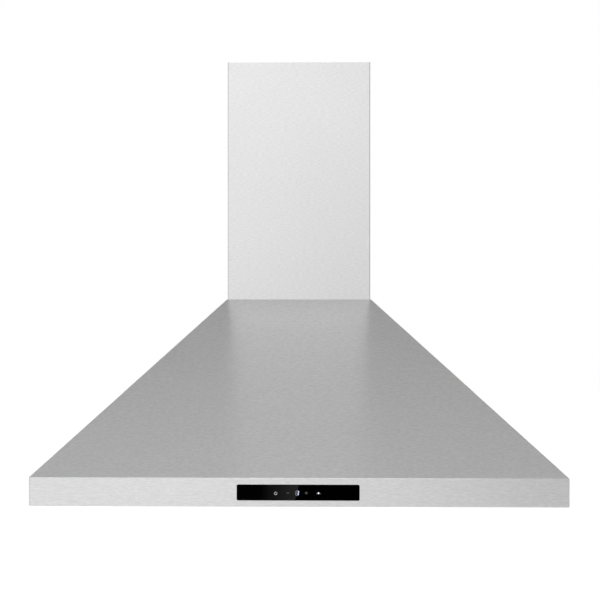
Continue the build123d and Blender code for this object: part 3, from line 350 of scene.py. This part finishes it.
def separate_boxes(node):
    """The lowest and highest corner of each loose piece of a node."""
    form = bmesh.new()
    form.from_mesh(nodes[node].data)
    bmesh.ops.remove_doubles(form, verts=form.verts, dist=SAME_SPOT)
    boxes = []
    waiting = set(form.verts)
    while waiting:
        piece = {waiting.pop()}
        fringe = list(piece)
        while fringe:
            corner = fringe.pop()
            fresh = {edge.other_vert(corner) for edge in corner.link_edges} - piece
            piece |= fresh
            fringe += fresh
        waiting -= piece
        spans = [[corner.co[axis] for corner in piece] for axis in range(3)]
        boxes.append((Vector(map(min, spans)), Vector(map(max, spans))))
    form.free()
    return boxes


def screw_tree():
    """Node tree that sets a screw on every point, its head turned to the point's facing."""
    tree = bpy.data.node_groups.new("pan_head_screws", "GeometryNodeTree")
    add = partial(add_node, tree)
    tree.interface.new_socket("Geometry", in_out="INPUT", socket_type="NodeSocketGeometry")
    for label in SCREW_SIZES:
        tree.interface.new_socket(label, in_out="INPUT", socket_type="NodeSocketFloat")
    tree.interface.new_socket("Finish", in_out="INPUT", socket_type="NodeSocketMaterial")
    tree.interface.new_socket("Geometry", in_out="OUTPUT", socket_type="NodeSocketGeometry")
    given = add("NodeGroupInput").outputs

    # Head: a short drum whose top falls away towards its edge
    drum = add("GeometryNodeMeshCylinder", {
        "Vertices": 28, "Fill Segments": 4, "Radius": given["Head Radius"], "Depth": given["Head Height"]})
    place = add("GeometryNodeInputPosition")
    height = add("ShaderNodeSeparateXYZ", {0: place}).outputs["Z"]
    upper = add("ShaderNodeMath", {0: height, 1: 0.0}, operation="GREATER_THAN")
    level = add("ShaderNodeVectorMath", {0: place, 1: (1, 1, 0)}, operation="MULTIPLY")
    reach = add("ShaderNodeVectorMath", {0: level}, operation="LENGTH").outputs["Value"]
    share = add("ShaderNodeMath", {0: reach, 1: given["Head Radius"]}, operation="DIVIDE")
    share = add("ShaderNodeMath", {0: share, 1: 2.0}, operation="POWER")
    fall = add("ShaderNodeMath", {0: share, 1: given["Crown"]}, operation="MULTIPLY")
    fall = add("ShaderNodeVectorMath", {0: (0, 0, -1), "Scale": fall}, operation="SCALE")
    head = add("GeometryNodeSetPosition", {"Geometry": drum, "Selection": upper, "Offset": fall})

    # Recess: two crossed slots cut into the top, the second a little deeper than the first.
    # Each is a box whose middle is on the top, so its height is twice what it cuts
    slot_width = given["Recess Width"]
    slot_length = add("ShaderNodeMath", {0: given["Head Radius"], 1: SLOT_SHARE}, operation="MULTIPLY")
    slot_length = slot_length.outputs[0]
    top = add("ShaderNodeVectorMath", {0: (0, 0, 0.5), "Scale": given["Head Height"]}, operation="SCALE")
    for wide, long, deep in ((slot_width, slot_length, 2.0), (slot_length, slot_width, 2.2)):
        depth = add("ShaderNodeMath", {0: given["Recess Depth"], 1: deep}, operation="MULTIPLY")
        size = add("ShaderNodeCombineXYZ", {"X": wide, "Y": long, "Z": depth})
        slot = add("GeometryNodeMeshCube", {"Size": size})
        slot = add("GeometryNodeTransform", {0: slot, "Translation": top})
        head = add("GeometryNodeMeshBoolean", {0: head, 1: slot}, operation="DIFFERENCE")

    # Shank: a rod under the head
    shank = add("GeometryNodeMeshCylinder", {
        "Vertices": 16, "Radius": given["Shank Radius"], "Depth": given["Shank Length"]})
    whole = add("ShaderNodeMath", {0: given["Head Height"], 1: given["Shank Length"]}, operation="ADD")
    below = add("ShaderNodeVectorMath", {0: (0, 0, -0.5), "Scale": whole}, operation="SCALE")
    shank = add("GeometryNodeTransform", {0: shank, "Translation": below})
    screw = add("GeometryNodeJoinGeometry", {0: head})
    fill(tree, screw, {0: shank})

    facing = add("GeometryNodeInputNamedAttribute", {"Name": "facing"}, data_type="FLOAT_VECTOR")
    turn = add("FunctionNodeAlignRotationToVector", {"Vector": facing}, axis="Z")
    placed = add("GeometryNodeInstanceOnPoints", {
        "Points": given["Geometry"], "Instance": screw, "Rotation": turn})
    solid = add("GeometryNodeRealizeInstances", {0: placed})
    finished = add("GeometryNodeSetMaterial", {0: solid, "Material": given["Finish"]})
    add("NodeGroupOutput", {0: finished})
    return tree


def set_screws(node, tree):
    """Replaces a node's plain screws by finished ones of the same size in the same places."""
    places, facings = [], []
    for low, high in separate_boxes(node):
        middle = (low + high) / 2
        facing = Vector(SCREW_FACING[node])
        facing.x *= math.copysign(1, middle.x)
        length = abs((high - low).dot(facing))
        head_radius = max((high - low)[axis] for axis in range(3) if not facing[axis]) / 2
        places.append(middle + facing * (length - HEAD_HEIGHT) / 2)
        facings.append(facing)
    points = bpy.data.meshes.new(f"{node}_places")
    points.from_pydata(places, [], [])
    turned = points.attributes.new("facing", "FLOAT_VECTOR", "POINT")
    turned.data.foreach_set("vector", [value for facing in facings for value in facing])
    maker = link_mesh(f"{node}_places", points)
    modifier = maker.modifiers.new("screws", "NODES")
    modifier.node_group = tree
    sizes = (head_radius, HEAD_HEIGHT, CROWN, SHANK_RADIUS, length - HEAD_HEIGHT, RECESS_WIDTH, RECESS_DEPTH)
    values = dict(zip(SCREW_SIZES, sizes), Finish=zinc_plated)
    for socket in tree.interface.items_tree:
        if socket.in_out == "INPUT" and socket.name in values:
            modifier[socket.identifier] = values[socket.name]
    evaluated = maker.evaluated_get(bpy.context.evaluated_depsgraph_get())
    mesh = bpy.data.meshes.new_from_object(evaluated)
    bpy.data.objects.remove(maker)
    finish_piece(link_mesh(f"{node}_cross_recess", mesh), node)


pan_head = screw_tree()
for node in SCREW_FACING:
    set_screws(node, pan_head)


# Symbols on the touch glass, lit from behind

GLASS_LOW, GLASS_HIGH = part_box("control_glass")
GLASS_FRONT = GLASS_LOW[1]
SYMBOL_DROP = 0.5 * MM  # the symbols sit this far below the middle of the glass
SYMBOL_LEVEL = (GLASS_LOW[2] + GLASS_HIGH[2]) / 2 - SYMBOL_DROP
SYMBOL_PROUD = 0.05 * MM
THIN, BOLD, BROAD = 0.9, 1.3, 1.7  # stroke widths in millimetres


def stroke(start, end, width=THIN):
    """Corners of a straight stroke between two points of the glass, in millimetres."""
    start, end = Vector(start), Vector(end)
    side = (end - start).normalized().orthogonal() * width / 2
    return [start + side, end + side, end - side, start - side]


def bow(centre, radius, first, last, steps=20):
    """Points along a circle, from one angle to another in degrees."""
    turns = [math.radians(first + (last - first) * step / steps) for step in range(steps + 1)]
    return [Vector(centre) + radius * Vector((math.cos(turn), math.sin(turn))) for turn in turns]


def bent_stroke(centre, radius, first, last, width=THIN):
    """Corners of a stroke bent round a point, from one angle to another in degrees."""
    outer = bow(centre, radius + width / 2, first, last)
    inner = bow(centre, radius - width / 2, first, last)
    return outer + inner[::-1]


def symbol(name, outlines, place_mm, material):
    """A printed symbol: flat outlines standing a hair proud of the glass."""
    form = bmesh.new()
    front = GLASS_FRONT - SYMBOL_PROUD
    for outline in outlines:
        corners = [((place_mm + p.x) * MM, front, SYMBOL_LEVEL + p.y * MM) for p in outline]
        face = form.faces.new([form.verts.new(corner) for corner in corners])
        sunk = bmesh.ops.extrude_face_region(form, geom=[face])["geom"]
        for corner in sunk:
            if isinstance(corner, bmesh.types.BMVert):
                corner.co.y += 2 * SYMBOL_PROUD
    bmesh.ops.recalc_face_normals(form, faces=form.faces)
    mesh = bpy.data.meshes.new(name)
    form.to_mesh(mesh)
    form.free()
    mesh.materials.append(material)
    piece = link_mesh(name, mesh)
    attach(piece, "hood")


# Places along the glass, in millimetres: the digit in the middle and two keys on each side
DIGIT_PLACE = -1.4
INNER_KEY = 12.75
OUTER_KEY = 29.7
glow_olive = lit_symbol("ink_lit_olive", "#2e2f24", 1.0)
symbol("symbol_power", [bent_stroke((0, -0.6), 1.75, 130, 410), stroke((0, 0.5), (0, 2.2))],
       DIGIT_PLACE - OUTER_KEY, lit_symbol("ink_lit_grey", "#b2b2b4", 1.0))
symbol("symbol_less", [stroke((-1.85, 0), (1.85, 0), BROAD)], DIGIT_PLACE - INNER_KEY, glow_olive)
symbol("symbol_more", [stroke((-1.9, 0), (1.9, 0), BOLD)]
       + [stroke((0, side * BOLD / 2), (0, side * 1.9), BOLD) for side in (-1, 1)],
       DIGIT_PLACE + INNER_KEY, lit_symbol("ink_lit_amber", "#443d2c", 1.0))
# The lamp is a disc of twenty corners, the last of them 18 degrees short of the first
symbol("symbol_lamp", [bow((0, -0.2), 1.15, 0, 342, steps=19)],
       DIGIT_PLACE + OUTER_KEY, lit_symbol("ink_lit_white", "#fbfbfc", 1.3))
symbol("symbol_lamp_rays", [stroke((side * 2.4, 0.2), (side * 2.9, -1.9)) for side in (-1, 1)],
       DIGIT_PLACE + OUTER_KEY, glow_olive)

# Seven-bar digit that leans to the right; its two right-hand bars are lit, and the other five bear a faint
# painted glow
HALF_WIDE, HALF_TALL, LEAN = 1.8, 3.2, 0.1
BAR_GAP, BAR_END = 0.45, 0.75


def upright_bar(side, low, high):
    """An upright bar of the digit, between two heights."""
    return stroke((side * HALF_WIDE + LEAN * low, low), (side * HALF_WIDE + LEAN * high, high), BOLD)


def level_bar(height):
    """A level bar of the digit, short of the upright ones."""
    reach = HALF_WIDE - BAR_END
    return stroke((LEAN * height - reach, height), (LEAN * height + reach, height), BOLD)


halves = ((BAR_GAP, HALF_TALL - BAR_GAP), (BAR_GAP - HALF_TALL, -BAR_GAP))
symbol("digit_lit_bars", [upright_bar(1, *half) for half in halves],
       DIGIT_PLACE, lit_symbol("digit_lit_blue_white", "#c6d4ff", 1.6))
unlit_bars = [upright_bar(-1, *half) for half in halves]
unlit_bars += [level_bar(height) for height in (-HALF_TALL, 0, HALF_TALL)]
# The unlit bars still glow faintly: painted light on bars that nothing lights
symbol("digit_faint_bars", unlit_bars, DIGIT_PLACE, lit_symbol("digit_unlit_painted_glow", "#75726d", 1.0))


# Stage, light and camera

def seen_directly(tree):
    """One for what the camera sees, also in a mirror or through glass, and otherwise nought."""
    ray = add_node(tree, "ShaderNodeLightPath").outputs
    seen = add_node(tree, "ShaderNodeMath", {0: ray["Is Camera Ray"], 1: ray["Is Glossy Ray"]},
                    operation="MAXIMUM")
    return add_node(tree, "ShaderNodeMath", {0: seen, 1: ray["Is Transmission Ray"]}, operation="MAXIMUM")


def stage_card(name, corners, level, rise=(0, 0, 0), least=0.0, most=1.4):
    """A plain card that the metal sees, as a studio has round a shiny subject. Its
    brightness is level at the origin and grows by rise per metre along X, Y and Z."""
    material, tree = new_material(name)
    tree.nodes.clear()
    place = add_node(tree, "ShaderNodeTexCoord").outputs["Object"]
    slope = add_node(tree, "ShaderNodeVectorMath", {0: place, 1: rise}, operation="DOT_PRODUCT")
    glow = add_node(tree, "ShaderNodeMath", {0: slope.outputs["Value"], 1: level}, operation="ADD")
    glow = add_node(tree, "ShaderNodeClamp", {"Value": glow, "Min": least, "Max": most})
    glow = add_node(tree, "ShaderNodeEmission", {"Strength": glow})
    add_node(tree, "ShaderNodeOutputMaterial", {"Surface": glow})
    mesh = bpy.data.meshes.new(name)
    mesh.from_pydata(corners, [], [range(len(corners))])
    mesh.materials.append(material)
    card = link_mesh(name, mesh)
    card.visible_camera = False
    card.visible_shadow = False


def upright_card(name, start, end, bottom, top, level, **fade):
    """A card that stands between two points of the plan."""
    stage_card(name, [(*start, bottom), (*end, bottom), (*end, top), (*start, top)], level, **fade)


def lying_card(name, start, end, height, level, **fade):
    """A card that lies level between two corners of the plan."""
    (left, front), (right, back) = start, end
    corners = [(left, front, height), (right, front, height), (right, back, height), (left, back, height)]
    stage_card(name, corners, level, **fade)


FLOOR_LEVEL = -2.4  # low enough to look at the hood from straight below
FLOOR_REACH = 30.0
FLOOR_LIFT = 0.6  # added to what the floor reflects, where it is seen, to make it white
FLOOR_PLAN = [(-1, -1), (1, -1), (1, 1), (-1, 1)]
floor_paint, tree = new_material("floor_painted_white")
lift = add_node(tree, "ShaderNodeMath", {0: seen_directly(tree), 1: FLOOR_LIFT}, operation="MULTIPLY")
set_surface(floor_paint, {
    "Base Color": linear("#e6e6e6"), "Roughness": 0.9,
    "Emission Color": linear("#ffffff"), "Emission Strength": lift})
floor_mesh = bpy.data.meshes.new("floor")
floor_corners = [(x * FLOOR_REACH, y * FLOOR_REACH, FLOOR_LEVEL) for x, y in FLOOR_PLAN]
floor_mesh.from_pydata(floor_corners, [], [range(len(floor_corners))])
floor_mesh.materials.append(floor_paint)
link_mesh("floor", floor_mesh)

AMBIENT = 0.6
scene.world = bpy.data.worlds.new("white_studio")
scene.world.use_nodes = True
tree = scene.world.node_tree
tree.nodes.clear()
level = add_node(tree, "ShaderNodeMapRange", {"Value": seen_directly(tree), "To Min": AMBIENT, "To Max": 1.0})
sky = add_node(tree, "ShaderNodeBackground", {"Color": linear("#ffffff"), "Strength": level})
add_node(tree, "ShaderNodeOutputWorld", {"Surface": sky})

# The room that the metal mirrors: walls lighter on the left, a tall soft light behind the
# camera, and a ceiling that is lit in front and in a strip over the hood
ROOM = 4.2
CEILING = 2.6
WALL_FOOT = -1.55
FRONT_HALF = 2.7
LIGHT_PLACE = 0.1 - ROOM  # a little in front of the front wall
LIGHT_HALF = 0.9
LIGHT_FOOT = 0.5
FRONT_EDGE, STRIP_FRONT, STRIP_BACK, BACK_EDGE = -1.4, -0.4, 0.0, 0.8
WALL_TO_THE_LEFT, LIGHT_TO_THE_LEFT = -0.215, -0.184
upright_card("front_wall", (-FRONT_HALF, -ROOM), (FRONT_HALF, -ROOM), WALL_FOOT, CEILING, 0.735,
             rise=(WALL_TO_THE_LEFT, 0, 0), least=0.52, most=1.12)
upright_card("front_left_end", (-ROOM, -ROOM), (-FRONT_HALF, -ROOM), WALL_FOOT, CEILING, 0.62)
upright_card("front_right_end", (FRONT_HALF, -ROOM), (ROOM, -ROOM), WALL_FOOT, CEILING, 0.5)
upright_card("front_light", (-LIGHT_HALF, LIGHT_PLACE), (LIGHT_HALF, LIGHT_PLACE), LIGHT_FOOT, CEILING,
             1.026, rise=(LIGHT_TO_THE_LEFT, 0, 0.325), most=2.0)
upright_card("back_wall", (-ROOM, ROOM), (ROOM, ROOM), WALL_FOOT, CEILING, 0.65, rise=(-0.07, 0, 0))
upright_card("left_wall", (-ROOM, -ROOM), (-ROOM, ROOM), WALL_FOOT, CEILING, 0.68)
upright_card("right_wall", (ROOM, -ROOM), (ROOM, ROOM), WALL_FOOT, CEILING, 0.5)
lying_card("ceiling_front", (-FRONT_HALF, -ROOM), (FRONT_HALF, FRONT_EDGE), CEILING, 1.3)
lying_card("ceiling_left_end", (-ROOM, -ROOM), (-FRONT_HALF, FRONT_EDGE), CEILING, 0.6)
lying_card("ceiling_right_end", (FRONT_HALF, -ROOM), (ROOM, FRONT_EDGE), CEILING, 0.6)
lying_card("ceiling_between", (-ROOM, FRONT_EDGE), (ROOM, STRIP_FRONT), CEILING, 0.2)
lying_card("ceiling_strip", (-ROOM, STRIP_FRONT), (ROOM, STRIP_BACK), CEILING, 1.38)
lying_card("ceiling_rear", (-ROOM, STRIP_BACK), (ROOM, BACK_EDGE), CEILING, 0.03)
lying_card("ceiling_back", (-ROOM, BACK_EDGE), (ROOM, ROOM), CEILING, 0.18)
lying_card("floor_back", (-ROOM, STRIP_FRONT), (ROOM, ROOM), WALL_FOOT, 0.6, rise=(-0.05, -0.06, 0))

# What the glass mirrors from behind the camera: a dark doorway with a pale slanted edge
DOORWAY = -3.9
DOOR_HALF = 0.34
DOOR_LOW, DOOR_HIGH = -0.62, -0.52
LEAF = DOORWAY + 0.02
LEAF_LOW, LEAF_HIGH = -0.032, -0.009  # the leaf's slanted edge, at its foot and its top
upright_card("dark_doorway", (-DOOR_HALF, DOORWAY), (DOOR_HALF, DOORWAY), DOOR_LOW, DOOR_HIGH, 0.0)
stage_card("door_leaf", [(-DOOR_HALF, LEAF, DOOR_LOW), (LEAF_LOW, LEAF, DOOR_LOW),
                         (LEAF_HIGH, LEAF, DOOR_HIGH), (-DOOR_HALF, LEAF, DOOR_HIGH)],
           0.455, rise=(2.5, 0, 0), least=0.01)

# A soft lamp up on the left
SOFTBOX_PLACE = Vector((-2.4, -2.2, 2.2))
SOFTBOX_AIM = Vector((0, -0.2, 0.3))
SOFTBOX_SIDE = 1.2
SOFTBOX_RADIANCE = 0.5
lamp = bpy.data.lights.new("softbox_left", "AREA")
lamp.size = SOFTBOX_SIDE
lamp.energy = SOFTBOX_RADIANCE * math.pi * SOFTBOX_SIDE ** 2
softbox = bpy.data.objects.new("softbox_left", lamp)
softbox.location = SOFTBOX_PLACE
softbox.rotation_euler = (SOFTBOX_AIM - SOFTBOX_PLACE).to_track_quat("-Z", "Y").to_euler()
scene.collection.objects.link(softbox)

# The photograph's camera: a level view, its framing given in pixels
FRAME_PX = 600.0
FOCAL_PX = 1126.0
SHIFT_PX = (15.7, -2.65)
CAMERA_PLACE = (0.0067, -2.0606, 0.2906)
CAMERA_TURN = 0.948
camera = bpy.data.cameras.new("camera")
camera.sensor_width = 36.0
camera.lens = camera.sensor_width * FOCAL_PX / FRAME_PX
camera.shift_x = SHIFT_PX[0] / FRAME_PX
camera.shift_y = SHIFT_PX[1] / FRAME_PX
camera_object = bpy.data.objects.new("camera", camera)
camera_object.location = CAMERA_PLACE
camera_object.rotation_euler = (math.radians(90), 0, math.radians(CAMERA_TURN))
scene.collection.objects.link(camera_object)
scene.camera = camera_object
